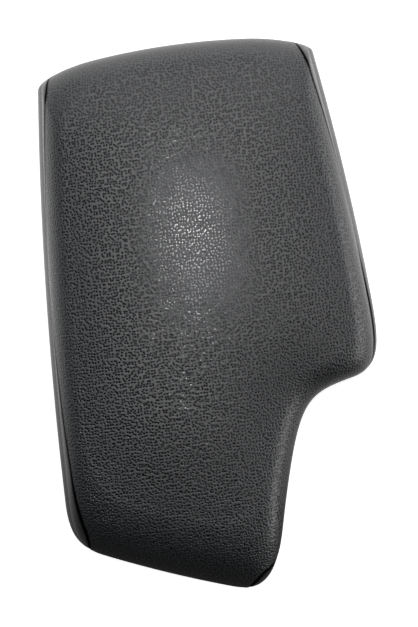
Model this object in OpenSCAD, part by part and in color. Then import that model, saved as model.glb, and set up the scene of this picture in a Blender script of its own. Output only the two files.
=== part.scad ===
// Car centre armrest: the hinged, leather-covered lid of a centre console.
// The origin is the middle of its footprint on the console rim, +Y is the rear, +X the handbrake side.

/* [Outline seen from above] */
// Distance across the car between the two rear corners
rear_w = 159.5; // [145:0.5:172]
// How much further back the rear right corner sits than the rear left one
rear_skew = 2.5; // [0:0.5:5]
// Bow of the rear edge
rear_bow = 7; // [4:0.5:10]
// Length of the left edge from corner to corner
left_len = 270; // [255:0.5:290]
// How far the left edge flares out towards the front
left_flare = 14; // [6:1:20]
// Bow of the left edge
left_bow = 4; // [1:0.5:6]
// Width of the front edge across the car
front_w = 115.5; // [108:0.5:124]
// How much further forward the right end of the front edge sits
front_slant = 42.5; // [34:0.5:50]
// Bow of the front edge
front_bow = 2.5; // [0:0.5:4]
// Length of the cut-away beside the handbrake lever
notch_len = 110; // [98:0.5:120]
// How far the cut-away leans outwards towards the rear
notch_lean = 28; // [20:0.5:36]
// Depth of the cut-away at its shoulder, across the car
notch_depth = 49.5; // [46:0.5:56]
// How much further back the outer end of the shoulder sits
notch_rise = 13; // [6:0.5:18]
// Bow of the right edge behind the shoulder
right_bow = 3; // [0:0.5:5]

/* [Height and section] */
// Height of the crown above the console rim
crown_h = 48; // [45:0.5:54]
// Height at which the roll of the edges ends and the crowned top begins
edge_h = 43; // [40:0.5:44]
// Height of the side seams above the console rim
seam_h = 20; // [17:0.5:23]
// Width of the roll along the sides
side_roll = 15; // [13:0.5:18]
// Width of the deep roll along the front
front_roll = 42; // [36:1:46]
// Width of the roll along the rear
rear_roll = 22; // [18:1:26]
// How far the side gussets lean in from their widest line to the seam
gusset_lean = 4.4; // [2:0.1:5]

/* [Leather and foam] */
// Thickness of the leather with its backing
leather_t = 1.3; // [1:0.1:1.6]
// Width of the leather that is turned in under the rim
turn_in = 9; // [7:0.5:9.5]
// Radius of the leather's bend round the rim
rim_curl = 2.5; // [2.2:0.1:2.8]

/* [Carrier shell] */
// Wall of the shell
shell_t = 2.5; // [2:0.1:3]
// Height of the shell's deck above the console rim
deck_h = 29; // [28:0.5:31]
// Width of the shell's rim flange along the sides
rim_flange = 7.5; // [6.5:0.5:9]
// Height of the stiffening ribs under the deck
rib_h = 7; // [3:0.5:8]
// Thickness of the ribs
rib_t = 1.8; // [1.2:0.1:2.5]

/* [Underside panel] */
// Wall of the underside panel
panel_t = 2.2; // [1.8:0.1:2.4]
// Depth of the underside's recess, measured down from the top of the shell's deck
recess_drop = 16; // [15.5:0.1:16.5]
// Radius of the panel's screws
screw_r = 1.7; // [1.4:0.05:2]
// Height of a rubber buffer below the panel
buffer_h = 1.5; // [1.2:0.1:1.6]
// Radius of a rubber buffer's foot
buffer_r = 4.5; // [3.5:0.25:4.75]

/* [Hinge] */
// Distance of the hinge axis from the rearmost line of the lid
hinge_inset = 32; // [31:0.5:36]
// Depth of the hinge axis below the top of the shell's deck
hinge_drop = 17; // [16.5:0.1:17.5]
// Radius of the hinge pin
pin_r = 3; // [2.5:0.1:3.2]
// Distance between the outer faces of the bracket's ears
bracket_w = 64; // [60:1:70]
// Thickness of the bracket's sheet steel
bracket_t = 2; // [1.6:0.1:2.4]
// Thickness of the hinge leaf's sheet steel
leaf_t = 2; // [1.6:0.1:2.2]
// Length of the bracket's flange along the car
flange_len = 30; // [28:1:34]
// Distance from the axis to the rear edge of the flange
flange_gap = 20; // [19:0.5:22]
// Radius of the bracket's four bolt holes
bolt_hole_r = 3.25; // [2.5:0.05:3.5]
// Distance between the bolt holes across the car
bolt_dx = 44; // [36:1:46]
// Distance between the bolt holes along the car
bolt_dy = 14; // [12:1:16]

/* [Latch] */
// Distance of the finger paddle's ends from the corners of the front edge
paddle_margin = 35.5; // [34:0.5:39]
// Reach of the paddle from its pin to the finger edge
paddle_reach = 20; // [17:0.5:21]
// Radius of the latch pin
latch_pin_r = 2; // [1.5:0.1:2.2]
// Distance of the latch pin from the front edge
latch_inset = 46; // [45:0.5:50]
// Width of the hook
hook_w = 14; // [10:1:18]

/* [Hidden] */

// Six edges in order: left, front, cut-away, shoulder, right, rear; corner i lies before edge i.
rear_left = [0, 0];
front_left = rear_left + [-left_flare, -left_len];
front_right = front_left + [front_w, -front_slant];
notch_root = front_right + [notch_lean, notch_len];
shoulder_end = notch_root + [notch_depth, notch_rise];
rear_right = rear_left + [rear_w, rear_skew];
corners = [rear_left, front_left, front_right, notch_root, shoulder_end, rear_right];
cut_bow = -2.5;
shoulder_bow = -1.5;
bows = [left_bow, front_bow, cut_bow, shoulder_bow, right_bow, rear_bow];

// How far each rounded corner reaches along the edges before and after it, at the rim and at the crown.
before_rim = [30, 23, 25, 46, 17, 6];
after_rim = [7, 15, 42, 22, 37, 34];
before_crown = [36, 40, 30, 42, 20, 26];
after_crown = [26, 28, 30, 20, 44, 34];
corner_pull = [0.62, 0.73, 0.71, 0.87, 0.8, 0.59];

// Points round the outline: each corner's, then those of the edge after it.
corner_steps = 7;
edge_steps = [8, 8, 3, 2, 6, 5];
stations = [for (i = [0 : 5]) each concat(
    [for (q = [0 : corner_steps - 1]) [0, i, q / corner_steps]],
    [for (q = [0 : edge_steps[i] - 1]) [1, i, q / edge_steps[i]]])];
ring_n = len(stations);

// Section of the covered lid at each of the six edges.
rim_in = [0.8, 1.5, 3, 3, 0.8, 1];
seam_in = [gusset_lean, 0, 0, 0, gusset_lean, 0];
wall_top = [seam_h, seam_h - 6, seam_h + 4, seam_h + 4, seam_h, seam_h - 4];
roll_w = [side_roll, front_roll, side_roll + 2, side_roll + 2, side_roll, rear_roll];
roll_end = 82;
crown_drop = 1.5;

// Running and seating clearances.
seat = 0.15;
lip_gap = 0.3;
foam_gap = 0.4;
pin_fit = 0.05;
seam_gap = 0.012;

// Heights of the stack at the rim, from the console rim upwards.
panel_z = buffer_h;
turn_z = panel_z + panel_t + seat;
flange_z = turn_z + leather_t + seat;
recess_h = deck_h - recess_drop;
recess_top = recess_h + panel_t;
hinge_h = deck_h - hinge_drop;

function unit(v) = v / norm(v);
function clamp(x) = min(1, max(0, x));
function smooth(x) = let(c = clamp(x)) c * c * (3 - 2 * c);
function after(i) = (i + 1) % 6;
function previous(i) = (i + 5) % 6;

// Unit vector along an edge, and the one that points into the lid from it.
function heading(i) = unit(corners[after(i)] - corners[i]);
function inward(i) = let(e = heading(i)) [-e[1], e[0]];

// Corner i once each edge has moved in by its own inset.
function shifted(i, d) =
    let(h = previous(i), a = inward(h), b = inward(i), c = a * b)
    corners[i] + ((d[h] - c * d[i]) * a + (d[i] - c * d[h]) * b) / (1 - c * c);

// Point at distance x along edge i between its ends p and q, with the edge's bow.
function on_edge(i, p, q, x) =
    let(e = unit(q - p), s = x / norm(q - p))
    p + e * x + [e[1], -e[0]] * 4 * bows[i] * s * (1 - s);

// Direction of the bowed edge at the same place.
function edge_heading(i, p, q, x) =
    let(e = unit(q - p), run = norm(q - p))
    unit(e + [e[1], -e[0]] * 4 * bows[i] * (1 - 2 * x / run) / run);

function reach(rim, crown, i, g) = rim[i] * (1 - g) + crown[i] * g;

// Plan point of a station for the insets d; g goes from 0 at the rim to 1 at the crown.
function plan(st, d, g) =
    let(i = st[1], p = shifted(i, d), q = shifted(after(i), d),
        ra = reach(after_rim, after_crown, i, g))
    st[0] == 1
        ? let(rb = reach(before_rim, before_crown, after(i), g))
            on_edge(i, p, q, ra + (norm(q - p) - rb - ra) * st[2])
        : corner_point(i, st[2], shifted(previous(i), d), p, q,
            reach(before_rim, before_crown, i, g), ra);

// Point f of the way round corner i, on one cubic curve that meets both bowed edges smoothly.
function corner_point(i, f, o, p, q, rb, ra) =
    let(h = previous(i), x = norm(p - o) - rb, r = 1 - f,
        a = on_edge(h, o, p, x), b = on_edge(i, p, q, ra),
        a1 = a + edge_heading(h, o, p, x) * rb * corner_pull[i],
        b1 = b - edge_heading(i, p, q, ra) * ra * corner_pull[i])
    r * r * r * a + 3 * r * r * f * a1 + 3 * r * f * f * b1 + f * f * f * b;

// The bare outline, and the shift that puts the middle of its box at the origin.
flat_six = [0, 0, 0, 0, 0, 0];
bare = [for (st = stations) plan(st, flat_six, 0)];
function column(list, j) = [for (p = list) p[j]];
centre = [for (j = [0 : 1]) (min(column(bare, j)) + max(column(bare, j))) / 2];
rear_y = max(column(bare, 1)) - centre[1];

// Value of a per-edge list at a station, blended across each corner.
function around(st, list) =
    st[0] == 1 ? list[st[1]]
        : let(s = smooth(st[2])) list[previous(st[1])] * (1 - s) + list[st[1]] * s;

// Inset and height of the leather's outer face. t runs from -2 at the inner end of the turned-in edge
// over -1 and 0 at the ends of the bend round the rim and 1 at the top of the wall to 2 at the roll's end.
function wall_inset(i, t) =
    rim_in[i] * (1 - t) * (1 - t) + seam_in[i] * t * t - rim_in[i] * seam_in[i] / (rim_in[i] + seam_in[i]);
function inset(i, t) =
    t <= -1 ? wall_inset(i, 0) + rim_curl + turn_in * (-1 - t)
        : t <= 0 ? wall_inset(i, 0) + rim_curl * (1 - cos(90 * t))
        : t <= 1 ? wall_inset(i, t)
        : wall_inset(i, 1) + roll_w[i] * (1 - cos(roll_end * (t - 1)));
function height(st, t) =
    let(low = turn_z + rim_curl, high = around(st, wall_top))
    t <= -1 ? turn_z
        : t <= 0 ? turn_z + rim_curl * (1 + sin(90 * t))
        : t <= 1 ? low + (high - low) * t
        : high + (edge_h - high) * sin(roll_end * (t - 1)) / sin(roll_end);

// Line down the middle of the crown, from the front to the rear.
spine_clear = [20, 28];
spine_front = shifted(1, [front_w / 2, front_roll + spine_clear[0], 0, 0, 0, 0]) - centre;
spine_rear = [(rear_left[0] + rear_right[0]) / 2 - centre[0], rear_y - rear_roll - spine_clear[1]];
spine_n = 10;
function spine(f) = spine_front + (spine_rear - spine_front) * f;
function spine_share(y) = clamp((y - spine_front[1]) / (spine_rear[1] - spine_front[1]));
function crown(f) = crown_h - crown_drop * (2 * f - 1) * (2 * f - 1);

// Point of the leather's outer face at station k; t from 2 to 3 goes over the crown to the middle line.
function skin(k, t) =
    let(st = stations[(k + ring_n) % ring_n], c = min(t, 2),
        p = plan(st, [for (i = [0 : 5]) inset(i, c)], max(0, c - 1)) - centre, z = height(st, c))
    t <= 2 ? [p[0], p[1], z]
        : let(f = spine_share(p[1]), s = spine(f), r = 3 - t)
            [p[0] * r + s[0] * (1 - r), p[1] * r + s[1] * (1 - r), z + (crown(f) - z) * (1 - r * r)];

// The same face moved in by a depth, square to itself.
function under_skin(k, t, depth) =
    let(e = 0.02, n = cross(skin(k + 1, t) - skin(k - 1, t), skin(k, t + e) - skin(k, t - e)))
    skin(k, t) - unit(n) * depth;

// Closed ring of points at one height, each edge moved in by its own inset.
function level(d, g, z) = [for (st = stations) let(p = plan(st, d, g) - centre) [p[0], p[1], z]];
function flat_level(d, g) = [for (st = stations) plan(st, d, g) - centre];
function spine_points(z, bend) = [for (j = [0 : spine_n])
    let(s = spine(j / spine_n)) [s[0], s[1], bend ? crown(j / spine_n) - z : z]];
function spine_index(p) = round(spine_n * spine_share(p[1]));

// Pairs of neighbouring numbers on the way from a to b.
function steps(a, b) = let(s = sign(b - a)) [for (j = [0 : 1 : abs(b - a) - 1]) [a + s * j, a + s * (j + 1)]];

// Solid between stacked rings, closed on both ends by a fan to the middle line.
module lofted(rings, first_line, last_line) {
    rows = len(rings);
    base = rows * ring_n;
    tail = base + spine_n + 1;
    first = [for (p = rings[0]) base + spine_index(p)];
    last = [for (p = rings[rows - 1]) tail + spine_index(p)];
    end = (rows - 1) * ring_n;
    sides = [for (r = [0 : rows - 2], k = [0 : ring_n - 1])
        let(n = (k + 1) % ring_n, a = r * ring_n, b = a + ring_n)
        each [[a + k, a + n, b + n], [a + k, b + n, b + k]]];
    start_cap = [for (k = [0 : ring_n - 1]) let(n = (k + 1) % ring_n)
        each concat([[n, k, first[k]]], [for (j = steps(first[k], first[n])) [n, j[0], j[1]]])];
    end_cap = [for (k = [0 : ring_n - 1]) let(n = (k + 1) % ring_n)
        each concat([[end + k, end + n, last[k]]], [for (j = steps(last[k], last[n])) [end + n, j[1], j[0]]])];
    polyhedron([for (r = rings) each r, each first_line, each last_line], concat(sides, start_cap, end_cap));
}

// Course of each seam: pairs of a station and the seam's place on the section scale t. It starts low on one
// end of the lid, climbs round the corner onto the roll, runs lower along the side and falls at the other end.
low_end = -2;
gusset_tip = 0.15;
left_seam = [[0, low_end], [1, -1.4], [2, -0.8], [3, 0], [4, 0.9], [5, 1.35], [6.5, 1.46], [8.5, 1.32],
    [10.5, 1.1], [12, 1.3], [15, 1.54], [17.5, 1.52], [20, 1.35], [21, 0.8], [22, 0], [24, -1], [25, low_end]];
right_seam = [[26, low_end], [27, -1], [29, 0], [30, 0.5], [31, 1.1], [32.5, 1.36], [34, 1.36], [36, 1],
    [52, 1], [54, 0.9], [56, 0.86], [57.5, 1.05], [59, 1.24], [62, 1.5], [64, 1.38], [65, 1.1], [66, 0.5],
    [67, -0.2], [69, -1], [70, low_end]];
function first_of(course) = course[0][0];
function last_of(course) = course[len(course) - 1][0];
function along(k, course) = max(low_end + gusset_tip, lookup(k, course));
function seam(k) =
    k >= first_of(left_seam) && k <= last_of(left_seam) ? along(k, left_seam)
        : k >= first_of(right_seam) && k <= last_of(right_seam) ? along(k, right_seam) : low_end;

// Leather

leather = "#46484c";
cover_levels = [2.75, 2.45, 2.2, 2, 1.85, 1.7];
hem_levels = [1.4, 1, 0.5, 0, -0.35, -0.7, -1, low_end];
gusset_levels = [low_end, -1, -0.5, 0, 0.5, 1, 1.25, 2];
row_step = 0.02;

module top_cover() {
    color(leather) {
        low = [for (k = [0 : ring_n - 1]) seam(k) > low_end ? seam(k) + seam_gap : low_end];
        hem_n = len(hem_levels);
        rows = concat([for (t = cover_levels) [for (k = [0 : ring_n - 1]) t]],
            [for (j = [0 : hem_n - 1])
                [for (k = [0 : ring_n - 1]) max(hem_levels[j], low[k] + row_step * (hem_n - 1 - j))]]);
        n = len(rows);
        outer = [for (r = rows) [for (k = [0 : ring_n - 1]) skin(k, r[k])]];
        inner = [for (j = [n - 1 : -1 : 0]) [for (k = [0 : ring_n - 1]) under_skin(k, rows[j][k], leather_t)]];
        lofted(concat(outer, inner), spine_points(0, true), spine_points(leather_t, true));
    }
}

// Strip of leather between the turned-in edge and a seam.
module gusset(course) {
    rows = len(gusset_levels);
    loop = 2 * rows;
    cuts = [for (k = [first_of(course) : last_of(course)])
        let(top = along(k, course) - seam_gap,
            ts = [for (j = [0 : rows - 1]) min(gusset_levels[j], top - row_step * (rows - 1 - j))])
        concat([for (t = ts) skin(k, t)], [for (j = [rows - 1 : -1 : 0]) under_skin(k, ts[j], leather_t)])];
    n = len(cuts);
    walls = [for (c = [0 : n - 2], j = [0 : loop - 1])
        let(a = c * loop + j, b = c * loop + (j + 1) % loop)
        each [[a, b, b + loop], [a, b + loop, a + loop]]];
    from_cap = [for (j = [0 : rows - 2]) each [[loop - 1 - j, j + 1, j], [loop - 1 - j, loop - 2 - j, j + 1]]];
    tail = (n - 1) * loop;
    to_cap = [for (f = from_cap) [tail + f[0], tail + f[2], tail + f[1]]];
    polyhedron([for (c = cuts) each c], concat(walls, from_cap, to_cap));
}
module left_gusset() {
    color(leather) gusset(left_seam);
}
module right_gusset() {
    color(leather) gusset(right_seam);
}

// Carrier shell

edge_seat = [for (i = [0 : 5]) wall_inset(i, 0) + leather_t + lip_gap];
shell_foot = [for (i = [0 : 5]) edge_seat[i] + rim_flange];
front_set = 13;
rear_set = 6;
shell_head = shell_foot + [2, front_set, 2, 2, 2, rear_set];
flange_top = flange_z + shell_t;
bend_low = deck_h - 6;
bend_mid = deck_h - 1.8;
bend_inner = bend_low - 1;
rim_chamfer = 1.4;
crown_share = 0.6;
function inner_by(list, x) = [for (v = list) v + x];
shell_walls = [[inner_by(shell_head, 6), crown_share, deck_h],
    [inner_by(shell_head, 1.8), crown_share, bend_mid],
    [shell_head, crown_share, bend_low],
    [shell_foot, 0, flange_top]];

module shell_body() {
    outer = [for (w = shell_walls) level(w[0], w[1], w[2])];
    lip = [level(edge_seat, 0, flange_top), level(edge_seat, 0, flange_z + rim_chamfer),
        level(inner_by(edge_seat, rim_chamfer), 0, flange_z)];
    inner = [level(inner_by(shell_foot, shell_t), 0, flange_z),
        level(inner_by(shell_head, shell_t), crown_share, bend_inner),
        level(inner_by(shell_head, shell_t + 3), crown_share, deck_h - shell_t)];
    lofted(concat(outer, lip, inner), spine_points(deck_h, false), spine_points(deck_h - shell_t, false));
}

// Screw places round the lid, each an edge and a share of its length.
screw_places = [[0, 0.12], [0, 0.5], [0, 0.9], [2, 0.55], [4, 0.3], [4, 0.93]];
screw_inset = 30;
function place(at, by) =
    let(d = [for (i = [0 : 5]) by], p = shifted(at[0], d), q = shifted(after(at[0]), d))
    on_edge(at[0], p, q, norm(q - p) * at[1]) - centre;
screw_points = [for (s = screw_places) place(s, screw_inset)];
boss_r = 4;
boss_z = recess_top + seat;
bore_top = deck_h - shell_t - 1;
screw_top = bore_top - 1;

// Ribs follow the length and the width and end in the shell's walls. They are cut back over the hinge.
cross_ribs = [0.15, 0.35, 0.55, 0.75];
ear_gap = 1.1;
hinge_air = 0.6;
rib_z = deck_h - shell_t - rib_h;
rib_top = deck_h - shell_t / 2;
module rib_grid() {
    span = 400;
    long_x = bracket_w / 2 + ear_gap + rib_t / 2;
    room_h = max(leaf_top, hinge_h + eye_r) + hinge_air - rib_z;
    difference() {
        intersection() {
            translate([0, 0, rib_z]) linear_extrude(rib_top - rib_z)
                polygon(flat_level(inner_by(shell_head, 1), crown_share));
            union() {
                for (f = cross_ribs) {
                    translate([-span / 2, spine(f)[1] - rib_t / 2, rib_z])
                        cube([span, rib_t, rib_top - rib_z]);
                }
                for (x = [-long_x, 0, long_x]) {
                    translate([x + hinge_x - rib_t / 2, -span / 2, rib_z])
                        cube([rib_t, span, rib_top - rib_z]);
                }
            }
        }
        translate([hinge_x - long_x + rib_t / 2, hinge_y + leaf_front - ear_gap, rib_z - 1])
            cube([2 * long_x - rib_t, eye_r - leaf_front + 2 * ear_gap, room_h + 1]);
    }
}

// Plain bore up into the shell at a list of points.
module bores(points, from) {
    for (p = points) {
        translate([p[0], p[1], from]) cylinder(h = bore_top - from, r = screw_r + pin_fit, $fn = 32);
    }
}
module bosses(points, from) {
    for (p = points) {
        translate([p[0], p[1], from]) cylinder(h = rib_top - from, r = boss_r, $fn = 32);
    }
}

module lid_shell() {
    color("#2a2b2d") difference() {
        union() {
            shell_body();
            rib_grid();
            bosses(screw_points, boss_z);
            bosses(leaf_points, leaf_top + seat);
        }
        bores(screw_points, boss_z - 1);
        bores(leaf_points, leaf_top - 1);
    }
}

// Foam

foam_levels = concat(cover_levels, [1.4, 1, 0.5, 0.22]);
foam_slip = 0.5;

// The foam stands back where a seam climbs or falls, to leave room for the turned seam allowances.
seam_room = 0.8;
function foam_depth(k) = leather_t + foam_gap + seam_room * min(1, abs(seam(k + 1) - seam(k - 1)));

module foam_pad() {
    color("#c9b458") {
        depth = leather_t + foam_gap;
        outer = [for (t = foam_levels) [for (k = [0 : ring_n - 1]) under_skin(k, t, foam_depth(k))]];
        inner = [for (j = [len(shell_walls) - 1 : -1 : 0]) let(w = shell_walls[j])
            level(inner_by(w[0], -foam_slip), w[1], w[2] + foam_slip)];
        lofted(concat(outer, inner), spine_points(depth, true), spine_points(deck_h + foam_slip, false));
    }
}

// Underside panel

panel_edge = inner_by(edge_seat, 1.2);
panel_slip = 1;
panel_foot = inner_by(shell_foot, shell_t + panel_slip);
panel_round = 0.7;

// Ring at height z that runs beside the shell's inner wall, further in by a slip.
function beside_wall(slip, z) =
    let(f = (z - flange_z) / (bend_inner - flange_z),
        low = level(inner_by(shell_foot, shell_t + slip), 0, z),
        high = level(inner_by(shell_head, shell_t + slip), crown_share, z))
    low * (1 - f) + high * f;

module panel_body() {
    rings = [beside_wall(panel_slip, recess_top),
        level(panel_foot, 0, panel_z + panel_t),
        level(inner_by(panel_edge, 0), 0, panel_z + panel_t),
        level(inner_by(panel_edge, 0), 0, panel_z + panel_round),
        level(inner_by(panel_edge, panel_round), 0, panel_z),
        level(inner_by(panel_foot, panel_t - panel_round), 0, panel_z),
        level(inner_by(panel_foot, panel_t), 0, panel_z + panel_round),
        beside_wall(panel_slip + panel_t, recess_h)];
    lofted(rings, spine_points(recess_top, false), spine_points(recess_h, false));
}

window_margin = 6;
window_front = 33;
window_rear = 12;
buffer_places = [[0, 0.045], [0, 0.95], [2, 0.2], [4, 0.96]];
buffer_stem = 2.2;
buffer_points = [for (b = buffer_places) place(b, (panel_edge[0] + panel_foot[0] + panel_t) / 2)];
screw_air = 0.25;

module inner_panel() {
    color("#333436") difference() {
        union() {
            panel_body();
            at_latch() latch_cheeks();
        }
        translate([hinge_x - bracket_w / 2 - window_margin, hinge_y - window_front, recess_h - 1])
            cube([bracket_w + 2 * window_margin, window_front + window_rear, panel_t + 2]);
        for (p = screw_points) {
            translate([p[0], p[1], recess_h - 1])
                cylinder(h = panel_t + 2, r = screw_r + screw_air, $fn = 32);
        }
        for (p = buffer_points) {
            translate([p[0], p[1], panel_z - 1])
                cylinder(h = panel_t + 2, r = buffer_stem + pin_fit, $fn = 32);
        }
        at_latch() latch_bore(latch_pin_r + pin_fit / 2, paddle_w + 4 * cheek_t);
    }
}

head_r = 3.6;
head_h = 1.4;
head_bevel = 0.7;
socket_r = 1.3;
socket_h = 0.8;

// Screws driven upwards: a bevelled head with a socket, a shank and a tapered end.
module screw_set(points, under, top) {
    shank = top - under + head_h - screw_r;
    for (p = points) {
        translate([p[0], p[1], under - head_h]) difference() {
            union() {
                cylinder(h = head_bevel, r1 = head_r - head_bevel, r2 = head_r, $fn = 32);
                translate([0, 0, head_bevel]) cylinder(h = head_h - head_bevel, r = head_r, $fn = 32);
                cylinder(h = shank, r = screw_r, $fn = 32);
                translate([0, 0, shank]) cylinder(h = screw_r, r1 = screw_r, r2 = screw_r / 3, $fn = 32);
            }
            translate([0, 0, -0.1]) cylinder(h = socket_h + 0.1, r = socket_r, $fn = 6);
        }
    }
}
module panel_screws() {
    color("#8d9094") screw_set(screw_points, recess_h - pin_fit, screw_top);
}

buffer_lip = 0.5;
module buffer(i) {
    color("#151515") translate([buffer_points[i][0], buffer_points[i][1], 0]) {
        cylinder(h = buffer_h - buffer_lip, r1 = buffer_r - buffer_lip, r2 = buffer_r, $fn = 40);
        translate([0, 0, buffer_h - buffer_lip]) cylinder(h = buffer_lip - pin_fit, r = buffer_r, $fn = 40);
        cylinder(h = panel_z + panel_t - 0.1, r = buffer_stem, $fn = 32);
    }
}
module buffer_rear_left() {
    buffer(0);
}
module buffer_front_left() {
    buffer(1);
}
module buffer_front_right() {
    buffer(2);
}
module buffer_rear_right() {
    buffer(3);
}

// Latch: its own axes run along the front edge and inwards from it.

latch_mid = (front_left + front_right) / 2 - inward(1) * front_bow - centre;
latch_turn = atan2(heading(1)[1], heading(1)[0]);
paddle_w = norm(front_right - front_left) - 2 * paddle_margin;
latch_drop = 5;
paddle_drop = 4.6;
hook_drop = 6.6;
latch_h = recess_h - latch_drop;
barrel_r = 3.9;
cheek_r = 4.5;
cheek_t = 3;
cheek_gap = 0.4;
paddle_z = latch_h - paddle_drop;
paddle_t = 2.2;
paddle_lip = 0.6;
paddle_bevel = 0.8;
hook_z = latch_h - hook_drop;
hook_reach = 4.2;
hook_neck = 3.2;
spring_slot = 11;
spring_end = 3.5;
spring_at = (paddle_w - spring_slot) / 2 - spring_end;
spring_leg = 9;
slot_air = 1.5;
latch_wire = 0.45;
latch_coil_r = 2.9;
module at_latch() {
    translate([latch_mid[0], latch_mid[1], 0]) rotate([0, 0, latch_turn]) children();
}

// Lays a profile of the section, inwards and up, across the latch.
module across(width) {
    rotate([90, 0, 90]) translate([0, 0, -width / 2]) linear_extrude(width) children();
}
module latch_bore(r, width) {
    translate([-width / 2, latch_inset, latch_h]) rotate([0, 90, 0]) cylinder(h = width, r = r, $fn = 40);
}
module latch_cheeks() {
    for (s = [-1, 1]) {
        translate([s * (paddle_w / 2 + cheek_gap + cheek_t / 2) - cheek_t / 2, latch_inset, latch_h]) {
            rotate([0, 90, 0]) cylinder(h = cheek_t, r = cheek_r, $fn = 40);
            translate([0, -cheek_r, 0]) cube([cheek_t, 2 * cheek_r, recess_h + panel_t / 2 - latch_h]);
        }
    }
}

// Outline of the paddle from its finger edge to the barrel, and that of the hook below the barrel.
module paddle_profile() {
    tip = latch_inset - paddle_reach;
    nose = tip + 5;
    root = latch_inset - 4;
    end = latch_inset + 1;
    top = paddle_z + paddle_t;
    polygon([[tip, paddle_z + paddle_bevel], [tip + paddle_lip, paddle_z], [nose - 2, paddle_z - paddle_lip],
        [nose, paddle_z], [root, paddle_z + paddle_lip], [end, latch_h - barrel_r + 0.1],
        [end, latch_h + 2], [root, top + 2 * paddle_bevel], [nose, top], [tip + paddle_bevel, top],
        [tip, top - paddle_bevel]]);
}
module hook_profile() {
    heel = 1.4;
    nose = hook_z + 1.6;
    polygon([[latch_inset - hook_neck, latch_h - 1], [latch_inset - hook_neck + 1, hook_z + paddle_lip],
        [latch_inset - heel, hook_z], [latch_inset + hook_reach, nose], [latch_inset + hook_reach, nose + 1],
        [latch_inset + heel, hook_z + 2 * heel], [latch_inset + hook_neck, latch_h - 1]]);
}

module latch_lever() {
    slot_x = spring_at - spring_slot / 2;
    slot_r = barrel_r + slot_air;
    leg_z = latch_h - latch_coil_r - latch_wire - 0.1;
    color("#1d1e20") at_latch() difference() {
        union() {
            across(paddle_w) {
                translate([latch_inset, latch_h]) circle(r = barrel_r, $fn = 40);
                paddle_profile();
            }
            across(hook_w) hook_profile();
        }
        latch_bore(latch_pin_r + pin_fit, paddle_w + 1);
        translate([slot_x, latch_inset - slot_r, latch_h - slot_r])
            cube([spring_slot, 2 * slot_r, 2 * slot_r]);
        translate([slot_x, latch_inset - slot_air - spring_leg, leg_z])
            cube([spring_slot, spring_leg, barrel_r]);
    }
}
module latch_pin() {
    length = paddle_w + 2 * cheek_gap + 2 * cheek_t;
    color("#b4b7ba") at_latch() latch_bore(latch_pin_r, length);
}

// Wire swept along a path, with one ring of corners at each point.
wire_sides = 6;
module wire(path, r) {
    n = len(path);
    rings = [for (i = [0 : n - 1])
        let(v = unit(path[min(n - 1, i + 1)] - path[max(0, i - 1)]),
            a = unit(cross(v, abs(v[0]) < 0.8 ? [1, 0, 0] : [0, 0, 1])), b = cross(v, a))
        [for (j = [0 : wire_sides - 1])
            let(turn = 360 * j / wire_sides) path[i] + r * (a * cos(turn) + b * sin(turn))]];
    walls = [for (i = [0 : n - 2], j = [0 : wire_sides - 1])
        let(p = i * wire_sides + j, q = i * wire_sides + (j + 1) % wire_sides)
        each [[p, q + wire_sides, q], [p, p + wire_sides, q + wire_sides]]];
    ends = [for (j = [1 : wire_sides - 2]) each [[0, j, j + 1],
        [(n - 1) * wire_sides, (n - 1) * wire_sides + j + 1, (n - 1) * wire_sides + j]]];
    polyhedron([for (g = rings) each g], concat(walls, ends));
}

// Coil round the X axis from angle a0 over the given turns, measured from +Y towards +Z.
function coil(r, width, a0, turns, steps) = [for (i = [0 : round(turns * steps)])
    let(f = i / round(turns * steps), a = a0 + 360 * turns * f) [width * (f - 0.5), r * cos(a), r * sin(a)]];

spring_touch = 0.2;
module latch_spring() {
    width = spring_slot - 4;
    turns = coil(latch_coil_r, width, -90, 4.5, 12);
    first = [-width / 2, -spring_leg, -latch_coil_r];
    last = [width / 2, -spring_leg, recess_h - latch_h - latch_wire - spring_touch];
    color("#9a9da0") at_latch() translate([spring_at, latch_inset, latch_h])
        wire(concat([first], turns, [last]), latch_wire);
}

// Hinge

hinge_x = (rear_left[0] + rear_right[0]) / 2 - centre[0];
hinge_y = rear_y - hinge_inset;
eye_r = 7;
leaf_eye_r = 6;
ear_room = 2.5;
leaf_ear_out = bracket_w / 2 - bracket_t - ear_room;
leaf_under = hinge_h + leaf_eye_r - 0.6;
leaf_top = leaf_under + leaf_t;
leaf_front = -31;
leaf_rear = -8.5;
leaf_hole_x = 14;
leaf_hole_in = 5;
leaf_hole_dy = 12;
leaf_holes = [for (x = [-leaf_hole_x, leaf_hole_x], y = [0, leaf_hole_dy]) [x, leaf_front + leaf_hole_in + y]];
leaf_points = [for (h = leaf_holes) [hinge_x + h[0], hinge_y + h[1]]];
bush_r = 4.2;

module at_hinge() {
    translate([hinge_x, hinge_y, hinge_h]) children();
}
module hinge_rod(from, to, r) {
    translate([from, 0, 0]) rotate([0, 90, 0]) cylinder(h = to - from, r = r, $fn = 48);
}

// End of the line from p that just grazes a circle of radius r round the axis, on the given side.
graze = 0.05;
function touch(p, r, side) =
    let(s = r - graze, a = atan2(-p[1], -p[0]) + side * asin(s / norm(p)), run = sqrt(p * p - s * s))
    p + run * [cos(a), sin(a)];

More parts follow.
